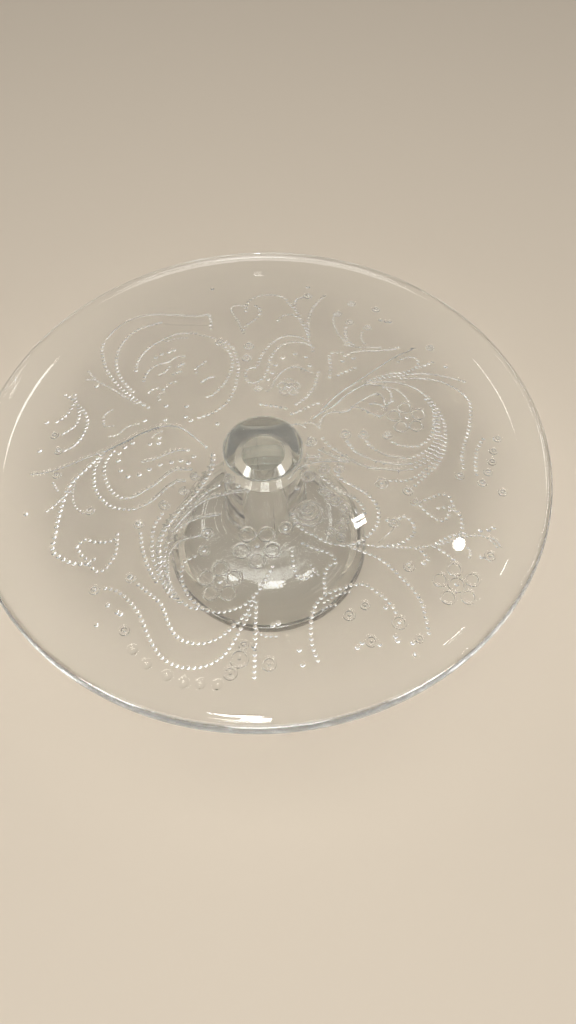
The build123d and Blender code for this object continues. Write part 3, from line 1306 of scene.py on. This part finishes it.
@dataclass(frozen=True)
class Lamp:
    """A flat lamp that faces a point, with the brightness of its face.

    It is turned about its own axis in degrees, and then moved sideways in its own plane by aside. One
    that doesn't light the floor is there only for its glint in the glass.
    """

    name: str
    place: Place
    size: Pair
    radiance: float
    facing: Place = (0.0, 0.0, 40.0)
    turned: float = 0.0
    aside: float = 0.0
    face: Face = Face.OBLONG
    lights_floor: bool = False

    def build(self) -> None:
        """Make the lamp. A face of radiance L and area A gives out pi * L * A watts."""
        width, height = (side * MM for side in self.size)
        data = bpy.data.lights.new(self.name, "AREA")
        data.shape = self.face.value
        data.size, data.size_y = width, height
        data.energy = self.radiance * pi * width * height
        lamp = bpy.data.objects.new(self.name, data)
        away = Vector(self.place) - Vector(self.facing)
        aim = away.to_track_quat("Z", "Y").to_matrix().to_4x4()
        spin = Matrix.Rotation(radians(self.turned), 4, "Z")
        step = Matrix.Translation((self.aside * MM, 0.0, 0.0))
        lamp.matrix_world = Matrix.Translation(Vector(self.place) * MM) @ aim @ spin @ step
        lamp.visible_camera = False
        lamp.visible_diffuse = self.lights_floor
        bpy.context.scene.collection.objects.link(lamp)


@dataclass
class Studio:
    """The pale floor, the soft surroundings, the lamps and the camera.

    The room gets a little lighter upwards: room gives its grey at heights of the unit sphere. The
    floor shows itself by floor_glow of its own colour wherever it is seen, directly or in the glass,
    so that the shadow under the foot stays light.
    """

    floor_colour: str = "#c8bba9"
    floor_glow: float = 0.2
    floor_roughness: float = 0.9
    floor_sheen: float = 0.1
    floor_radius: float = 6000.0
    floor_sides: int = 96
    room: tuple[Pair, ...] = ((0.0, 0.1), (0.2, 0.1), (0.35, 0.22), (1.0, 0.25))
    hung: float = 1100.0
    low_panel: Pair = (150.0, 24.0)
    low_panel_height: float = 12.5
    low_panels_out: float = 240.0
    camera_place: Place = (8.8, -147.5, 271.5)
    camera_down: float = 58.94
    camera_roll: float = -0.21
    camera_lens: float = 24.6

    def build(self) -> None:
        """Build the whole studio."""
        self.floor()
        self.surroundings()
        for lamp in self.lamps():
            lamp.build()
        self.camera()

    def floor(self) -> None:
        """A wide flat disc at the height that the foot stands on."""
        around = np.arange(self.floor_sides)
        turn = around * 2 * pi / self.floor_sides
        ring = np.stack([np.cos(turn), np.sin(turn), 0 * turn], axis=1) * self.floor_radius
        faces = np.stack([0 * around, 1 + around, 1 + (around + 1) % self.floor_sides], axis=1)
        points = np.vstack([np.zeros((1, 3)), ring])
        disc = Surface(points, np.tile([0.0, 0.0, 1.0], (len(points), 1)), [faces]).as_object("floor")
        disc.data.materials.append(self.floor_paint_with_glow())

    def floor_paint_with_glow(self) -> bpy.types.Material:
        """Matt paint, mixed with a glow of its own colour where the floor is seen: painted light, which keeps
        the shadow under the foot light.

        Returns:
            The material.
        """
        made = bpy.data.materials.new("matt_floor_paint")
        made.use_nodes = True
        tree = made.node_tree
        tree.nodes.clear()
        path = add_node(tree, "ShaderNodeLightPath", {})
        seen = path.outputs["Is Camera Ray"]
        for kind in ("Is Glossy Ray", "Is Transmission Ray"):
            either = add_node(tree, "ShaderNodeMath", {"operation": "MAXIMUM"})
            tree.links.new(seen, either.inputs[0])
            tree.links.new(path.outputs[kind], either.inputs[1])
            seen = either.outputs["Value"]
        part = add_node(tree, "ShaderNodeMapRange", {"To Max": self.floor_glow}, Value=seen)
        paint = add_node(
            tree,
            "ShaderNodeBsdfPrincipled",
            {
                "Base Color": linear(self.floor_colour),
                "Roughness": self.floor_roughness,
                "Specular IOR Level": self.floor_sheen,
            },
        )
        # painted light: the floor glows with its own colour wherever it is seen, which lifts the shadow under
        # the foot
        glow = add_node(tree, "ShaderNodeEmission", {"Color": linear(self.floor_colour)})
        both = add_node(tree, "ShaderNodeMixShader", {}, Fac=part.outputs["Result"])
        tree.links.new(paint.outputs["BSDF"], both.inputs[1])
        tree.links.new(glow.outputs["Emission"], both.inputs[2])
        add_node(tree, "ShaderNodeOutputMaterial", {}, Surface=both.outputs["Shader"])
        return made

    def surroundings(self) -> None:
        """A dim soft room, against whose low walls the edges of the glass show dark."""
        world = bpy.data.worlds.new("soft_room")
        world.use_nodes = True
        tree = world.node_tree
        tree.nodes.clear()
        place = add_node(tree, "ShaderNodeTexCoord", {})
        parts = add_node(tree, "ShaderNodeSeparateXYZ", {}, Vector=place.outputs["Generated"])
        ramp = add_node(tree, "ShaderNodeValToRGB", {}, Fac=parts.outputs["Z"])
        stops = ramp.color_ramp.elements
        stops.remove(stops[1])
        (stops[0].position, grey), *higher = self.room
        stops[0].color = (grey, grey, grey, 1.0)
        for position, grey in higher:
            stops.new(position).color = (grey, grey, grey, 1.0)
        sky = add_node(tree, "ShaderNodeBackground", {}, Color=ramp.outputs["Color"])
        add_node(tree, "ShaderNodeOutputWorld", {}, Surface=sky.outputs["Background"])
        bpy.context.scene.world = world

    def lamps(self) -> list[Lamp]:
        """The key over the camera and a softbox overhead light the floor; the rest only glint.

        The front pair shows in the beads, the strips along the turned-up rim, the far pair in its near
        side and the two low panels in the bevel of the stem's hollow. The last three are the small
        lamps whose images lie on the flat of the plate. The others stand outside what the flat shows
        to the camera.

        Returns:
            The lamps.
        """
        up, out, panel_height = self.hung, self.low_panels_out, self.low_panel_height
        low = [
            Lamp(
                f"low_{name}",
                (out * np.cos(radians(angle)), out * np.sin(radians(angle)), panel_height),
                self.low_panel,
                1.6,
                facing=(0.0, 0.0, panel_height),
            )
            for name, angle in (("left", -150), ("right", -30))
        ]
        return low + [
            Lamp("key", (45, -720, 1060), (450, 450), 16.0, lights_floor=True),
            Lamp("overhead", (-40, -170, up), (800, 600), 3.9, facing=(-40, -170, 0), lights_floor=True),
            Lamp("front_left", (-650, -500, 950), (300, 300), 30.0),
            Lamp("front_right", (650, -500, 950), (300, 300), 30.0),
            Lamp("strip_left", (-720, 775, up), (110, 800), 12.0, facing=(-720, 775, 0)),
            Lamp("strip_right", (640, 775, up), (110, 800), 12.0, facing=(640, 775, 0)),
            Lamp("far_high", (-210, 4500, 3070), (70, 300), 60.0),
            Lamp("far_low", (-200, 4100, 2070), (60, 300), 60.0),
            Lamp("pair_near", (154, 572, 1103), (7, 25), 26.0, turned=-50, aside=-5.5),
            Lamp("pair_far", (154, 572, 1103), (7, 25), 26.0, turned=-50, aside=5.5),
            Lamp("side", (350, 512, 1099), (20, 26), 26.0, face=Face.OVAL),
        ]

    def camera(self) -> None:
        """The camera looks along +Y and down at the plate."""
        data = bpy.data.cameras.new("camera")
        data.lens = self.camera_lens
        data.sensor_width = 36.0
        data.clip_start = 0.01
        camera = bpy.data.objects.new("camera", data)
        tilt = Matrix.Rotation(radians(90 - self.camera_down), 4, "X")
        roll = Matrix.Rotation(radians(self.camera_roll), 4, "Z")
        camera.matrix_world = Matrix.Translation(Vector(self.camera_place) * MM) @ tilt @ roll
        bpy.context.scene.collection.objects.link(camera)
        bpy.context.scene.camera = camera


def main() -> None:
    """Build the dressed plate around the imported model, then the studio."""
    logging.basicConfig(level=logging.INFO, format="%(message)s")
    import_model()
    plate_low, plate_high = (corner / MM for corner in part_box("plate"))
    stem_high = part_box("pedestal")[1].z / MM
    film_low, film_high = (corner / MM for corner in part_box("bond_film"))

    glass = PressedGlass().material()
    relief = Relief(
        [
            long_ribs(),
            upper_left_medallion(),
            back_leaf(),
            back_right_plumes(),
            right_medallion(),
            front_right_teardrop(),
            front_right_plume(),
            front_left_medallion(),
            left_medallion(),
        ]
    )
    log.info("ornament: %d dots, %d rings, %d ribs", len(relief.dots), len(relief.rings), len(relief.ribs))
    PressedPlate(plate_high.x - plate_low.x, plate_low.z, plate_high.z).build(relief, glass)
    HollowPedestal(top=stem_high).build(glass)
    BondFilm(film_high.x, film_low.z, film_high.z).build(CuredAdhesive().material())
    Studio().build()
    scene = bpy.context.scene
    scene.view_settings.view_transform = "Standard"
    scene.cycles.max_bounces = scene.cycles.transmission_bounces = scene.cycles.glossy_bounces = 32


if __name__ == "__main__":
    main()
